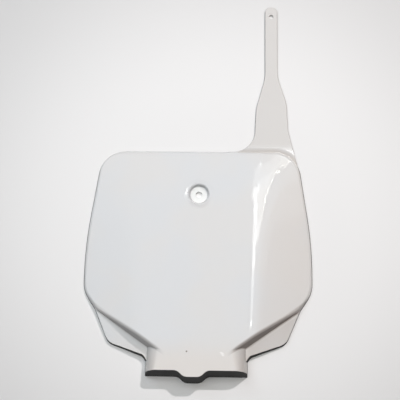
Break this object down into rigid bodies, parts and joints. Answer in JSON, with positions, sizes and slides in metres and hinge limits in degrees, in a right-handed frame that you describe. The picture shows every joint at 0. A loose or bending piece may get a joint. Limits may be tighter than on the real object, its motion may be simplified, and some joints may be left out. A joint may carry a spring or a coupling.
{
  "type": "racing number board",
  "caption": "Shallow moulded racing number board with a bolt dish, low ears, a hollow foot and a long side strap, for the front of a motorbike.",
  "frame": {"origin": "middle of the bolt hole, on the plane of the seat behind the dish, which is also the plane of the rim", "axes": "+X to the right seen from the front, +Y up the face towards the strap, +Z out of the face"},
  "size_m": [0.2304, 0.3991, 0.022],
  "materials": {
    "board": "glossy white moulded polypropylene"
  },
  "bodies": {
    "root": {"number_board": "board"}
  },
  "joints": []
}
